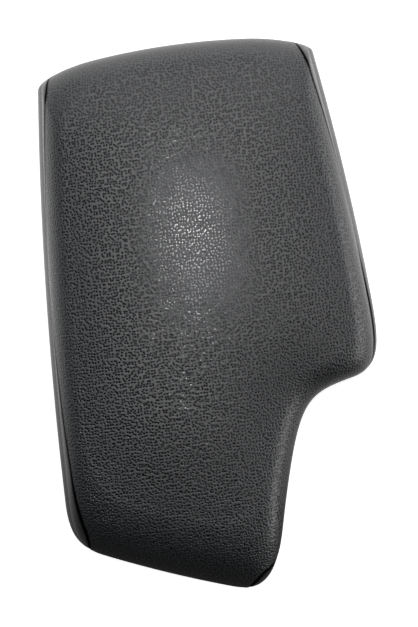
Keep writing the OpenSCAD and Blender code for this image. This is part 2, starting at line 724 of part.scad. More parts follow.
ear_foot = 6;
ear_step = 5;
window_w = 12;
window_in = 8;
module hinge_bracket() {
    back = -flange_gap;
    front = -flange_gap - flange_len;
    low = [back, -hinge_h];
    high = [front + ear_foot, bracket_t + ear_step - hinge_h];
    hole_y = (back + front) / 2;
    color("#7f8488") at_hinge() difference() {
        union() {
            translate([-bracket_w / 2, front, -hinge_h]) cube([bracket_w, flange_len, bracket_t]);
            for (s = [-1, 1]) {
                translate([s * (bracket_w / 2 - bracket_t / 2), 0, 0]) across(bracket_t) {
                    circle(r = eye_r, $fn = 48);
                    polygon([[front + bracket_t, -hinge_h], low, touch(low, eye_r, -1),
                        touch(high, eye_r, 1), high, [front, 2 * bracket_t - hinge_h],
                        [front, -hinge_h + bracket_t / 2]]);
                }
            }
        }
        hinge_rod(-bracket_w, bracket_w, pin_r + pin_fit);
        for (x = [-1, 1], y = [-1, 1]) {
            translate([x * bolt_dx / 2, hole_y + y * bolt_dy / 2, -hinge_h - 1])
                cylinder(h = bracket_t + 2, r = bolt_hole_r, $fn = 40);
        }
        translate([-window_w / 2, front + window_in, -hinge_h - 1])
            cube([window_w, flange_len - 2 * window_in, bracket_t + 2]);
    }
}

leaf_web = 8;
module hinge_leaf() {
    web = leaf_front + leaf_web;
    low = [web + 4, leaf_under - hinge_h - 2.4];
    high = [-leaf_eye_r, leaf_top - hinge_h];
    color("#6f7478") at_hinge() difference() {
        union() {
            translate([-leaf_ear_out, leaf_front, leaf_under - hinge_h])
                cube([2 * leaf_ear_out, leaf_rear - leaf_front, leaf_t]);
            for (s = [-1, 1]) {
                translate([s * (leaf_ear_out - leaf_t / 2), 0, 0]) across(leaf_t) {
                    circle(r = leaf_eye_r, $fn = 48);
                    polygon([high, [web, leaf_top - hinge_h], [web, leaf_under - hinge_h - 1], low,
                        touch(low, leaf_eye_r, -1), touch(high, leaf_eye_r, 1)]);
                }
            }
        }
        hinge_rod(-bracket_w, bracket_w, bush_r + pin_fit);
        for (h = leaf_holes) {
            translate([h[0], h[1], leaf_under - hinge_h - 1])
                cylinder(h = leaf_t + 2, r = screw_r + screw_air, $fn = 32);
        }
    }
}
module leaf_screws() {
    color("#8d9094") screw_set(leaf_points, leaf_under - pin_fit, screw_top);
}

bush_gap = 0.3;
bush_lip = 0.4;
module bush(side) {
    inside = leaf_ear_out - leaf_t - bush_lip;
    flange_from = leaf_ear_out + 0.1;
    outside = bracket_w / 2 - bracket_t - bush_gap;
    color("#d8d4c6") at_hinge() mirror([side < 0 ? 1 : 0, 0, 0]) difference() {
        union() {
            hinge_rod(inside, flange_from + bush_lip, bush_r);
            hinge_rod(flange_from, outside, leaf_eye_r - bush_lip);
        }
        hinge_rod(inside - 1, outside + 1, pin_r + pin_fit);
    }
}
module hinge_bush_left() {
    bush(-1);
}
module hinge_bush_right() {
    bush(1);
}

washer_t = 1;
washer_gap = 0.2;
clip_t = 0.8;
clip_gap = 0.15;
washer_x = bracket_w / 2 + washer_gap;
clip_x = washer_x + washer_t + clip_gap;
groove_r = pin_r - 0.7;
pin_head = 2.2;
pin_tip = 0.5;
module hinge_pin() {
    head_x = -bracket_w / 2 - washer_gap;
    groove_end = clip_x + clip_t + clip_gap;
    tip = groove_end + 1.5;
    color("#c3c6c9") at_hinge() {
        hinge_rod(head_x - pin_head, head_x, pin_r + 2);
        hinge_rod(head_x - 0.1, clip_x - clip_gap / 2, pin_r);
        hinge_rod(clip_x - clip_gap, groove_end, groove_r);
        hinge_rod(groove_end - 0.1, tip - pin_tip, pin_r);
        translate([tip - pin_tip, 0, 0]) rotate([0, 90, 0])
            cylinder(h = pin_tip, r1 = pin_r, r2 = pin_r - pin_tip, $fn = 48);
    }
}
module hinge_washer() {
    color("#a9acae") at_hinge() difference() {
        hinge_rod(washer_x, washer_x + washer_t, pin_r + 3);
        hinge_rod(washer_x - 1, washer_x + washer_t + 1, pin_r + washer_gap);
    }
}

// Retaining ring with an open side and two small holes for the pliers.
clip_ring = 2.2;
clip_hole_r = 0.9;
clip_hole_at = 120;
module hinge_clip() {
    mouth = 0.8 * groove_r;
    color("#55585b") at_hinge() translate([clip_x, 0, 0]) rotate([0, 90, 0]) linear_extrude(clip_t)
        difference() {
            circle(r = pin_r + clip_ring, $fn = 48);
            circle(r = groove_r + pin_fit, $fn = 40);
            translate([0, -mouth]) square([pin_r + clip_ring + 1, 2 * mouth]);
            for (a = [-clip_hole_at, clip_hole_at]) {
                rotate(a) translate([groove_r + clip_ring / 2, 0]) circle(r = clip_hole_r, $fn = 24);
            }
        }
}

hinge_wire = 0.8;
hinge_coil_r = 6.2;
leg_gap = 0.3;
spring_foot = 6;
spring_run = 8;
module hinge_spring() {
    width = 18;
    turns = coil(hinge_coil_r, width, -90, 7.54, 14);
    first = [-width / 2, -flange_gap - spring_foot, bracket_t + hinge_wire + leg_gap - hinge_h];
    leg_z = leaf_under - hinge_h - hinge_wire - leg_gap;
    last = [for (run = [0, spring_run]) [width / 2, leaf_rear - run, leg_z]];
    color("#5f6264") at_hinge() wire(concat([first], turns, last), hinge_wire);
}

top_cover();
left_gusset();
right_gusset();
foam_pad();
lid_shell();
inner_panel();
panel_screws();
buffer_rear_left();
buffer_rear_right();
buffer_front_left();
buffer_front_right();
latch_lever();
latch_pin();
latch_spring();
hinge_leaf();
leaf_screws();
hinge_bush_left();
hinge_bush_right();
hinge_bracket();
hinge_pin();
hinge_washer();
hinge_clip();
hinge_spring();
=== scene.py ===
import bpy
import numpy as np
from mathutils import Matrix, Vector


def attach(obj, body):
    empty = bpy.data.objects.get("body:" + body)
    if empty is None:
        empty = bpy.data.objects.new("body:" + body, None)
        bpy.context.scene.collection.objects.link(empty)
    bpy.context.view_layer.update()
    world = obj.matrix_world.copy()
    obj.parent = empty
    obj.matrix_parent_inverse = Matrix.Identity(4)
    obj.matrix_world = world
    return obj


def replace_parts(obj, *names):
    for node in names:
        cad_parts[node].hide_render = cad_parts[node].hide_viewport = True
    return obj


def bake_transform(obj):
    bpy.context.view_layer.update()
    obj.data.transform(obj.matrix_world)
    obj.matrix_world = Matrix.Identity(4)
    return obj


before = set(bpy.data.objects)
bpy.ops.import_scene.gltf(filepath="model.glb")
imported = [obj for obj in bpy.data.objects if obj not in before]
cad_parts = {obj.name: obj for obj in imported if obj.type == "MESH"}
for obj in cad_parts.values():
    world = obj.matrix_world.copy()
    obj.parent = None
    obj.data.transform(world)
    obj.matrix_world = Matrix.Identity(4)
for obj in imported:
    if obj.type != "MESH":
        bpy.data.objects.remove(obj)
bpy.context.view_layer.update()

# The view: a camera straight above the armrest, as a product shot on a table top has it. The lid's length
# stands seven degrees off the frame's upright.
MM = 0.001
CAMERA_AIM = (0.4 * MM, 1.76 * MM)
CAMERA_HEIGHT = 869 * MM
CAMERA_TURN = -7
LENS = 85
SENSOR = 36
camera = bpy.data.objects.new("camera", bpy.data.cameras.new("camera"))
bpy.context.scene.collection.objects.link(camera)
bpy.context.scene.camera = camera
camera.location = (*CAMERA_AIM, CAMERA_HEIGHT)
camera.rotation_euler = (0, 0, np.radians(CAMERA_TURN))
camera.data.lens = LENS
camera.data.sensor_fit = "VERTICAL"
camera.data.sensor_height = SENSOR

# Hinge bracket: a bent and punched steel sheet with two ears, bolted to the console by four bolts.
# It is zinc plated, which leaves a faint cloudy pattern in the grey.
ZINC = (0.42, 0.43, 0.44)
ZINC_CLOUD = 9 * MM
SCRATCH = 0.5 * MM


def new_material(name, colour, roughness, **sockets):
    """A material with one shader. Each value is set on the shader's own socket, named with _ for a space."""
    made = bpy.data.materials.new(name)
    made.use_nodes = True
    shader = made.node_tree.nodes["Principled BSDF"]
    shader.inputs["Base Color"].default_value = (*colour, 1)
    shader.inputs["Roughness"].default_value = roughness
    for key, value in sockets.items():
        shader.inputs[key.replace("_", " ")].default_value = value
    return made, shader


def node(material, kind, inputs=(), **settings):
    """One more shader node. An input is a number, a colour or another node's output."""
    made = material.node_tree.nodes.new("ShaderNode" + kind)
    for key, value in settings.items():
        setattr(made, key, value)
    for key, value in dict(inputs).items():
        if isinstance(value, bpy.types.NodeSocket):
            material.node_tree.links.new(value, made.inputs[key])
        else:
            made.inputs[key].default_value = value
    return made


def ramp(material, source, stops):
    """Colour of a source between 0 and 1: straight lines between (place, colour or grey) stops."""
    made = node(material, "ValToRGB", {"Fac": source})
    line = made.color_ramp.elements
    while len(line) < len(stops):
        line.new(0.5)
    for element, (place, colour) in zip(line, stops):
        element.position = place
        element.color = (*colour, 1) if isinstance(colour, tuple) else (colour, colour, colour, 1)
    return made.outputs["Color"]


def math(material, operation, a, b, clamp=False):
    """One sum or product of two values, each a number or another node's output."""
    return node(material, "Math", {0: a, 1: b}, operation=operation, use_clamp=clamp).outputs[0]


def object_place(material):
    """The point's place on the object, in metres."""
    return node(material, "TexCoord").outputs["Object"]


def noise(material, size, detail=2.0, rough=0.5):
    """Cloudy value between 0 and 1 whose blotches are about the given size."""
    return node(material, "TexNoise", {"Vector": object_place(material), "Scale": 1 / size,
        "Detail": detail, "Roughness": rough}).outputs["Fac"]


def link(material, output, shader, socket):
    """Joins a node's output to one of the shader's sockets."""
    material.node_tree.links.new(output, shader.inputs[socket])


def bump(material, shader, height, depth):
    """Tilts the shading normal by the slope of a height between 0 and 1 that stands for depth in metres."""
    made = node(material, "Bump", {"Height": height, "Distance": depth, "Strength": 1.0})
    link(material, made.outputs["Normal"], shader, "Normal")


def plated_steel(name, colour, roughness, cloud=ZINC_CLOUD):
    """Plated sheet: a cloudy grey and a fine scratched bump."""
    made, shader = new_material(name, colour, roughness, Metallic=1.0)
    clouds = noise(made, cloud, 4.0, 0.6)
    dark = tuple(0.72 * c for c in colour)
    link(made, ramp(made, clouds, [(0.3, dark), (0.7, colour)]), shader, "Base Color")
    link(made, ramp(made, clouds, [(0.3, roughness + 0.1), (0.7, roughness)]), shader, "Roughness")
    bump(made, shader, noise(made, SCRATCH, 3.0), 0.01 * MM)
    return made


def finish_node(name, material):
    """Gives a CAD node its material in every slot."""
    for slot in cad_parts[name].material_slots:
        slot.material = material


finish_node("hinge_bracket", plated_steel("zinc_plate", ZINC, 0.34))

# Hinge pin, washer and clip: turned and stamped steel. The pin runs through both ears and its head and the
# clip in its groove keep it there.
BRIGHT = (0.58, 0.58, 0.57)
BLACKENED = (0.06, 0.062, 0.066)
TURNING = 0.22 * MM


def turned_steel(name, colour, roughness):
    """Bright steel with the fine rings that turning leaves, as bands across the pin's length."""
    made, shader = new_material(name, colour, roughness, Metallic=1.0)
    wave = {"Vector": object_place(made), "Scale": 1 / (6 * TURNING), "Distortion": 1.0}
    rings = node(made, "TexWave", wave, wave_type="BANDS", bands_direction="X").outputs["Fac"]
    clouds = noise(made, 3 * MM)
    link(made, ramp(made, clouds, [(0.3, roughness + 0.08), (0.7, roughness)]), shader, "Roughness")
    bump(made, shader, rings, 0.004 * MM)
    return made


finish_node("hinge_pin", turned_steel("turned_pin", BRIGHT, 0.2))
finish_node("hinge_washer", plated_steel("washer_zinc", BRIGHT, 0.3))
finish_node("hinge_clip", plated_steel("blackened_clip", BLACKENED, 0.36))

# Hinge bushes: two flanged bushes of undyed, milky nylon. They are pressed into the leaf's ears and turn on
# the steel pin.
NYLON, NYLON_SHADE = (0.62, 0.59, 0.5), (0.56, 0.53, 0.44)
nylon, nylon_shader = new_material("natural_nylon", NYLON, 0.42, Subsurface_Weight=0.2,
    Subsurface_Scale=1.5 * MM)
milky = ramp(nylon, noise(nylon, 4 * MM), [(0.3, NYLON_SHADE), (0.7, NYLON)])
link(nylon, milky, nylon_shader, "Base Color")
bump(nylon, nylon_shader, noise(nylon, 0.4 * MM), 0.01 * MM)
for side in ("left", "right"):
    finish_node(f"hinge_bush_{side}", nylon)

# Hinge leaf and its four screws: a second bent sheet that is screwed up into the shell's bosses and turns
# with the lid on the pin. The screws are zinc plated too.
LEAF_STEEL = (0.38, 0.39, 0.4)
SCREW_STEEL = (0.3, 0.31, 0.33)
finish_node("hinge_leaf", plated_steel("leaf_zinc", LEAF_STEEL, 0.38))
screw_zinc = plated_steel("screw_zinc", SCREW_STEEL, 0.3, 3 * MM)
finish_node("leaf_screws", screw_zinc)

# Hinge spring: a torsion spring wound round the hinge axis. One leg lies on the bracket's flange and the
# other presses up against the leaf, so the coil winds up as the lid closes.
AXIS = np.array([-2.0083, 125.4991, 12.0])
COIL_R, COIL_W, COIL_TURNS, WIRE_R = 6.2, 18, 7.54, 0.8
BRACKET_LEG_END = np.array([-9, -26, -8.9])
LEAF_LEG = np.array([[9, -8.5, 4.3], [9, -16.5, 4.3]])
SPRING_COLOUR = (0.16, 0.165, 0.17)


def swept_wire(path, radius, sides=10):
    """Tube round a path. At each point the circle is spanned by the tangent crossed with the spring's own X
    and by the tangent crossed with that; both ends are closed by a fan."""
    tangent = np.gradient(path, axis=0)
    tangent /= np.linalg.norm(tangent, axis=1)[:, None]
    side = np.cross(tangent, [1.0, 0.0, 0.0])
    side /= np.linalg.norm(side, axis=1)[:, None]
    up = np.cross(tangent, side)
    angle = np.linspace(0, 2 * np.pi, sides, endpoint=False)
    rings = path[:, None] + radius * (np.cos(angle)[None, :, None] * side[:, None]
        + np.sin(angle)[None, :, None] * up[:, None])
    rows, k = len(path), np.arange(sides)
    following = (k + 1) % sides
    base = np.arange(rows - 1)[:, None] * sides
    after = base + sides
    walls = np.stack([base + k, base + following, after + following, after + k], -1).reshape(-1, 4)
    ends = rows * sides + np.array([0, 1])
    first = np.stack([np.full(sides, ends[0]), following, k], 1)
    last = np.stack([np.full(sides, ends[1]), (rows - 1) * sides + k, (rows - 1) * sides + following], 1)
    points = np.concatenate([rings.reshape(-1, 3), path[[0, -1]]])
    return points, walls.tolist() + first.tolist() + last.tolist()


def new_piece(name, points, faces, material):
    """A smoothly shaded mesh object at the origin, from points in millimetres."""
    mesh = bpy.data.meshes.new(name)
    mesh.from_pydata((np.asarray(points) * MM).tolist(), [], faces)
    mesh.polygons.foreach_set("use_smooth", np.full(len(mesh.polygons), True))
    mesh.materials.append(material)
    made = bpy.data.objects.new(name, mesh)
    bpy.context.scene.collection.objects.link(made)
    return made


def spring_path(radius, width, turns, first, last):
    """A straight leg from the first point, a helix round X from the lowest point that is evenly spread over
    the width, and straight legs over the last points."""
    f = np.linspace(0, 1, int(turns * 40) + 1)
    a = -np.pi / 2 + 2 * np.pi * turns * f
    coil = np.stack([width * (f - 0.5), radius * np.cos(a), radius * np.sin(a)], 1)
    leg = np.linspace(0, 1, 12, endpoint=False)[:, None]
    legs = [p + (q - p) * (leg + 1 / 12) for p, q in zip([coil[-1], *last], last)]
    return np.concatenate([first + (coil[0] - first) * leg, coil, *legs])


def spring_steel(name, colour):
    """Oiled spring wire, dark and smooth with faint drawing marks."""
    made, shader = new_material(name, colour, 0.3, Metallic=1.0)
    clouds = noise(made, 2.5 * MM, 3.0)
    dark = tuple(0.6 * c for c in colour)
    link(made, ramp(made, clouds, [(0.3, dark), (0.7, colour)]), shader, "Base Color")
    bump(made, shader, noise(made, 0.3 * MM), 0.006 * MM)
    return made


hinge_path = spring_path(COIL_R, COIL_W, COIL_TURNS, BRACKET_LEG_END, LEAF_LEG)
points, faces = swept_wire(hinge_path + AXIS, WIRE_R)
hinge_spring = new_piece("hinge_torsion_spring", points, faces, spring_steel("oiled_wire", SPRING_COLOUR))
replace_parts(hinge_spring, "hinge_spring")
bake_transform(hinge_spring)

# Carrier shell: an injection-moulded plastic tray that gives the lid its stiffness. It is ribbed under its
# deck and has the screw bosses; only its hinge end shows, through the panel's window.
SHELL_BLACK = (0.016, 0.016, 0.017)


def moulded_plastic(name, colour, roughness, grain, depth):
    """Moulded plastic: a fine eroded grain, with the slightly uneven gloss that moulding leaves."""
    made, shader = new_material(name, colour, roughness, Specular_IOR_Level=0.45)
    clouds = noise(made, 22 * MM, 3.0)
    pale = tuple(1.25 * c for c in colour)
    link(made, ramp(made, clouds, [(0.3, colour), (0.7, pale)]), shader, "Base Color")
    link(made, ramp(made, clouds, [(0.3, roughness - 0.04), (0.7, roughness + 0.05)]), shader, "Roughness")
    bump(made, shader, noise(made, grain, 2.0, 0.6), depth)
    return made


finish_node("lid_shell", moulded_plastic("shell_plastic", SHELL_BLACK, 0.5, 0.6 * MM, 0.015 * MM))

# Underside panel: a moulded tray screwed up to the shell, which clamps the leather's turned-in edge all
# round. It has the fine spark-eroded grain that hides fingerprints.
PANEL_GREY = (0.028, 0.028, 0.03)
finish_node("inner_panel", moulded_plastic("panel_plastic", PANEL_GREY, 0.56, 0.45 * MM, 0.045 * MM))
finish_node("panel_screws", screw_zinc)

# Rubber buffers: four soft rubber plugs, pushed into holes in the panel, on which the closed lid rests.
# A dull bloom lies on the rubber.
RUBBER, RUBBER_BLOOM = (0.012, 0.012, 0.012), (0.03, 0.03, 0.029)
rubber, rubber_shader = new_material("buffer_rubber", RUBBER, 0.7, Specular_IOR_Level=0.3)
bloom = noise(rubber, 2 * MM, 4.0)
link(rubber, ramp(rubber, bloom, [(0.35, RUBBER), (0.75, RUBBER_BLOOM)]), rubber_shader, "Base Color")
bump(rubber, rubber_shader, bloom, 0.03 * MM)
for corner in ("rear_left", "rear_right", "front_left", "front_right"):
    finish_node(f"buffer_{corner}", rubber)

# Latch: a moulded plastic finger paddle with its hook. It turns on a ground steel pin, which is held between
# two cheeks of the underside panel, under the front edge.
LEVER_BLACK = (0.02, 0.02, 0.021)
finish_node("latch_lever", moulded_plastic("lever_plastic", LEVER_BLACK, 0.44, 0.4 * MM, 0.02 * MM))
finish_node("latch_pin", turned_steel("latch_pin_steel", BRIGHT, 0.24))

# Latch spring: a small torsion spring of steel wire on the same pin. One leg lies on the paddle and the other
# presses up against the panel, which holds the hook engaged.
LATCH_TURN = np.arctan2(-0.34532879, 0.93848177)
LATCH_PIVOT = np.array([-22.9865, -101.2317, 8.0])
SPRING_AT = 17.04
LATCH_COIL_R, LATCH_COIL_W, LATCH_TURNS, LATCH_WIRE_R = 2.9, 7, 4.5, 0.45
PADDLE_LEG_END = np.array([-3.5, -9, -2.9])
PANEL_LEG = np.array([[3.5, -9, 4.35]])
LATCH_WIRE_COLOUR = (0.4, 0.41, 0.42)
latch_along = np.array([np.cos(LATCH_TURN), np.sin(LATCH_TURN), 0])
latch_inwards = np.array([-np.sin(LATCH_TURN), np.cos(LATCH_TURN), 0])
latch_path = spring_path(LATCH_COIL_R, LATCH_COIL_W, LATCH_TURNS, PADDLE_LEG_END, PANEL_LEG)
points, faces = swept_wire(latch_path, LATCH_WIRE_R, 8)
level_part = (points[:, :1] + SPRING_AT) * latch_along + points[:, 1:2] * latch_inwards
points = level_part + points[:, 2:] * [0, 0, 1]
latch_wire = spring_steel("latch_wire", LATCH_WIRE_COLOUR)
latch_spring = new_piece("latch_torsion_spring", points + LATCH_PIVOT, faces, latch_wire)
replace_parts(latch_spring, "latch_spring")
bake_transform(latch_spring)

# Foam: a moulded block of soft polyurethane over the shell, which gives the armrest its crown and its rolled
# edges. Its outer face lies just inside the leather all round.
REAR_W, REAR_SKEW, LEFT_LEN, LEFT_FLARE = 159.5, 2.5, 270, 14
FRONT_W, FRONT_SLANT, NOTCH_LEN, NOTCH_LEAN, NOTCH_DEPTH, NOTCH_RISE = 115.5, 42.5, 110, 28, 49.5, 13
BOWS = np.array([4, 2.5, -2.5, -1.5, 3, 7])
EDGE_H, SEAM_H = 43, 20
SIDE_ROLL, FRONT_ROLL, REAR_ROLL, ROLL_END = 15, 42, 22, np.radians(82)
LEATHER_T, TURN_IN, RIM_CURL, TURN_Z, FOAM_GAP, FOAM_SLIP = 1.3, 9, 2.5, 3.85, 0.4, 0.5
BEFORE_RIM = np.array([30, 23, 25, 46, 17, 6])
AFTER_RIM = np.array([7, 15, 42, 22, 37, 34])
BEFORE_CROWN = np.array([36, 40, 30, 42, 20, 26])
AFTER_CROWN = np.array([26, 28, 30, 20, 44, 34])
PULL = np.array([0.62, 0.73, 0.71, 0.87, 0.8, 0.59])
RIM_IN = np.array([0.8, 1.5, 3, 3, 0.8, 1])
SEAM_IN = np.array([4.4, 0, 0, 0, 4.4, 0])
WALL_TOP = np.array([SEAM_H, SEAM_H - 6, SEAM_H + 4, SEAM_H + 4, SEAM_H, SEAM_H - 4])
ROLL_W = np.array([SIDE_ROLL, FRONT_ROLL, SIDE_ROLL + 2, SIDE_ROLL + 2, SIDE_ROLL, REAR_ROLL])

CORNERS = np.cumsum([[0, 0], [-LEFT_FLARE, -LEFT_LEN], [FRONT_W, -FRONT_SLANT], [NOTCH_LEAN, NOTCH_LEN],
    [NOTCH_DEPTH, NOTCH_RISE]], axis=0).tolist() + [[REAR_W, REAR_SKEW]]
CORNERS = np.array(CORNERS, float)
HEADING = np.roll(CORNERS, -1, 0) - CORNERS
HEADING /= np.linalg.norm(HEADING, axis=1)[:, None]
INWARD = np.stack([-HEADING[:, 1], HEADING[:, 0]], 1)

# Places round the outline: the six corners take turns with the six edges after them. K counts the coarse
# steps of the solid's outline, so that the seams start and end where the solid's do.
CORNER_STEPS = 7
EDGE_STEPS = [8, 8, 3, 2, 6, 5]
CORNER_FINE = 28
EDGE_FINE = [104, 44, 42, 20, 60, 60]
stretches = []
for i in range(6):
    start = sum(EDGE_STEPS[:i]) + CORNER_STEPS * i
    for on_edge, fine, coarse in ((0, CORNER_FINE, CORNER_STEPS), (1, EDGE_FINE[i], EDGE_STEPS[i])):
        f = np.arange(fine) / fine
        stretches.append(np.stack([np.full(fine, on_edge), np.full(fine, i), f, start + coarse * f], 1))
        start += CORNER_STEPS
ON_EDGE, EDGE, SHARE, K = np.concatenate(stretches).T
RING = len(K)


def shifted(i, d):
    """Corner i once each edge has moved in by its own inset d: where the two moved edges cross."""
    h = (i - 1) % 6
    a, b = INWARD[h], INWARD[i]
    c = a @ b
    return CORNERS[i] + ((d[..., h] - c * d[..., i])[..., None] * a
        + (d[..., i] - c * d[..., h])[..., None] * b) / (1 - c * c)


def bowed(i, p, q, x):
    """Point and direction at distance x from p on edge i: the straight line plus a parabola of its bow."""
    run = np.linalg.norm(q - p, axis=-1)[..., None]
    e = (q - p) / run
    out = np.stack([e[..., 1], -e[..., 0]], -1)
    s = x[..., None] / run
    way = e + out * 4 * BOWS[i] * (1 - 2 * s) / run
    way /= np.linalg.norm(way, axis=-1)[..., None]
    return p + e * x[..., None] + out * 4 * BOWS[i] * s * (1 - s), way


def plan(on_edge, i, f, d, g):
    """Plan points for insets d. On an edge they are evenly spread; round a corner they lie on the cubic curve
    that leaves and meets both bowed edges along their own directions. g blends the corner's reach from its
    value at the rim to its value at the crown."""
    p, q = shifted(i, d), shifted((i + 1) % 6, d)
    after = AFTER_RIM[i] * (1 - g) + AFTER_CROWN[i] * g
    if on_edge:
        n = (i + 1) % 6
        before = BEFORE_RIM[n] * (1 - g) + BEFORE_CROWN[n] * g
        return bowed(i, p, q, after + (np.linalg.norm(q - p, axis=-1) - before - after) * f)[0]
    o = shifted((i - 1) % 6, d)
    before = BEFORE_RIM[i] * (1 - g) + BEFORE_CROWN[i] * g
    a, way_a = bowed((i - 1) % 6, o, p, np.linalg.norm(p - o, axis=-1) - before)
    b, way_b = bowed(i, p, q, after + 0 * f)
    a1 = a + way_a * (before * PULL[i])[..., None]
    b1 = b - way_b * (after * PULL[i])[..., None]
    f = f[..., None]
    return (1 - f) ** 3 * a + 3 * (1 - f) ** 2 * f * a1 + 3 * (1 - f) * f ** 2 * b1 + f ** 3 * b


def ring_plan(d, g):
    """Plan points of all places round the outline, for rows of insets d (rows, ring, 6) and blends g."""
    flat = np.empty(g.shape + (2,))
    for i in range(6):
        for on_edge in (0, 1):
            at = (EDGE == i) & (ON_EDGE == on_edge)
            flat[:, at] = plan(on_edge, i, np.broadcast_to(SHARE[at], g[:, at].shape), d[:, at], g[:, at])
    return flat


def smooth(x):
    """Cubic step from 0 to 1 that is level at both ends."""
    c = np.clip(x, 0, 1)
    return c * c * (3 - 2 * c)


bare = ring_plan(np.zeros((1, RING, 6)), np.zeros((1, RING)))[0]
coarse = bare[np.isclose(K % 1, 0)]
CENTRE = (coarse.min(0) + coarse.max(0)) / 2
REAR_Y = (coarse.max(0) - CENTRE)[1]
wall_here = WALL_TOP[EDGE.astype(int)]
wall_before = WALL_TOP[EDGE.astype(int) - 1]
WALL_Z = np.where(ON_EDGE == 1, wall_here, wall_before + (wall_here - wall_before) * smooth(SHARE))
PAST_FRONT_ROLL, PAST_REAR_ROLL = 58, 52
SPINE_FRONT = shifted(1, np.array([FRONT_W / 2, FRONT_ROLL + PAST_FRONT_ROLL, 0, 0, 0, 0])) - CENTRE
SPINE_REAR = np.array([REAR_W / 2 - CENTRE[0], REAR_Y - REAR_ROLL - PAST_REAR_ROLL])
SPINE_POINTS = 46


def wall_inset(t):
    """Inset of the six walls at height share t: a parabola through the rim's and the seam's inset that just
    touches the widest line between them."""
    return RIM_IN * (1 - t) ** 2 + SEAM_IN * t ** 2 - RIM_IN * SEAM_IN / (RIM_IN + SEAM_IN)


def inset(t):
    """Inset of the leather's face at the six edges. The scale t runs from -2 at the inner end of the
    turned-in edge over -1 and 0 at the ends of the quarter circle round the rim and 1 at the top of the wall
    to 2 at the end of the elliptic roll."""
    t = t[..., None]
    return np.select([t <= -1, t <= 0, t <= 1], [wall_inset(0) + RIM_CURL + TURN_IN * (-1 - t),
        wall_inset(0) + RIM_CURL * (1 - np.cos(np.pi / 2 * t)), wall_inset(t)],
        wall_inset(1) + ROLL_W * (1 - np.cos(ROLL_END * (t - 1))))


def height(t):
    """Height of the face on the same scale: flat, quarter circle, straight wall, quarter ellipse."""
    low = TURN_Z + RIM_CURL
    rim = TURN_Z + RIM_CURL * (1 + np.sin(np.pi / 2 * t))
    wall = low + (WALL_Z - low) * t
    roll = WALL_Z + (EDGE_H - WALL_Z) * np.sin(ROLL_END * (t - 1)) / np.sin(ROLL_END)
    return np.select([t <= -1, t <= 0, t <= 1], [TURN_Z + 0 * t, rim, wall], roll)


def spine(f):
    """Plan point f of the way along the crown's middle line."""
    return SPINE_FRONT + (SPINE_REAR - SPINE_FRONT) * np.asarray(f)[..., None]


def spine_share(y):
    """How far along the middle line it is level with y, from 0 to 1."""
    return np.clip((y - SPINE_FRONT[1]) / (SPINE_REAR[1] - SPINE_FRONT[1]), 0, 1)


# The crown: EDGE_LINE is the roll's end in plan, and FINE_LINE is the same line in quarter steps, for sums
# along it. The crown climbs from there, by nearly CROWN_RISE where it is farthest from the edges.
EDGE_LINE = ring_plan(inset(np.full((1, RING), 2.0)), np.ones((1, RING)))[0] - CENTRE
FINE_LINE = np.stack([np.interp(np.arange(4 * RING) / 4, np.arange(RING + 1), np.append(column, column[0]))
    for column in EDGE_LINE.T], 1)
CROWN_RISE, SIDE_REACH, FRONT_REACH = 5.2, 25, 8
FRONT_FROM, FRONT_TO = 85, 40
EDGE_BLUR = 3
STRAIGHT_EDGE = np.abs(np.arange(-150, 151, 1.0))[None]


def reach_at(flat):
    """How far the roll's pull reaches inwards at plan points: a little further near the front."""
    behind_front = (flat - (CORNERS[1] - CENTRE)) @ INWARD[1]
    return SIDE_REACH + FRONT_REACH * smooth((FRONT_FROM - behind_front) / (FRONT_FROM - FRONT_TO))


def edge_pull(flat):
    """Pull of the whole roll's end on plan points: the sum over its length of an exponential of the distance,
    divided by the same sum for a straight edge through the point."""
    edge = FINE_LINE @ [1, 1j]
    step = np.abs(np.diff(edge, append=edge[0]))
    pulled = []
    for row, reach in zip(flat @ [1, 1j], reach_at(flat)):
        far = np.abs(row[:, None] - edge[None])
        here = (np.exp(-far / reach[:, None]) / np.sqrt(far + EDGE_BLUR) * step).sum(1)
        whole = (np.exp(-STRAIGHT_EDGE / reach[:, None]) / np.sqrt(STRAIGHT_EDGE + EDGE_BLUR)).sum(1)
        pulled.append(here / whole)
    return np.stack(pulled)


EDGE_PULL = edge_pull(EDGE_LINE[None])[0]


def crown_height(flat, full_pull):
    """Height of the crown over plan points: it climbs from the roll's end as the pull of the roll fades, like
    a skin stretched over soft foam. Where the pull is full, the crown is as low as the roll's end."""
    return EDGE_H + CROWN_RISE * (1 - edge_pull(flat) / full_pull)


def skin(t):
    """Points of the leather's face for rows of t (rows, ring). From 2 to 3 each row is a blend of the edge
    ring and the middle line in plan, at the crown's height. The full pull goes from each place's own value at
    the edge to the mean of all at the middle line."""
    c = np.minimum(t, 2)
    flat = ring_plan(inset(c), np.clip(c - 1, 0, 1)) - CENTRE
    u = np.clip(t - 2, 0, 1)
    middle = spine(spine_share(flat[..., 1]))
    flat = flat * (1 - u[..., None]) + middle * u[..., None]
    z = height(c)
    crowned = np.any(u > 0, axis=1)
    if crowned.any():
        share = (1 - u[crowned]) ** 2
        raised = crown_height(flat[crowned], EDGE_PULL ** share * EDGE_PULL.mean() ** (1 - share))
        z[crowned] = np.where(u[crowned] > 0, raised, z[crowned])
    return np.concatenate([flat, z[..., None]], -1)


def outward(t):
    """Unit normal of the face: the cross product of its slopes along the row and along t."""
    e = 0.01
    rows = skin(t)
    n = np.cross(skin(t - e) - skin(t + e), np.roll(rows, -1, 1) - np.roll(rows, 1, 1))
    return n / np.linalg.norm(n, axis=-1)[..., None]


def level(d, g, z):
    """One ring at height z, with each edge moved in by its own inset."""
    flat = ring_plan(np.broadcast_to(d, (1, RING, 6)), np.full((1, RING), g))[0] - CENTRE
    return np.concatenate([flat, np.full((RING, 1), z)], 1)


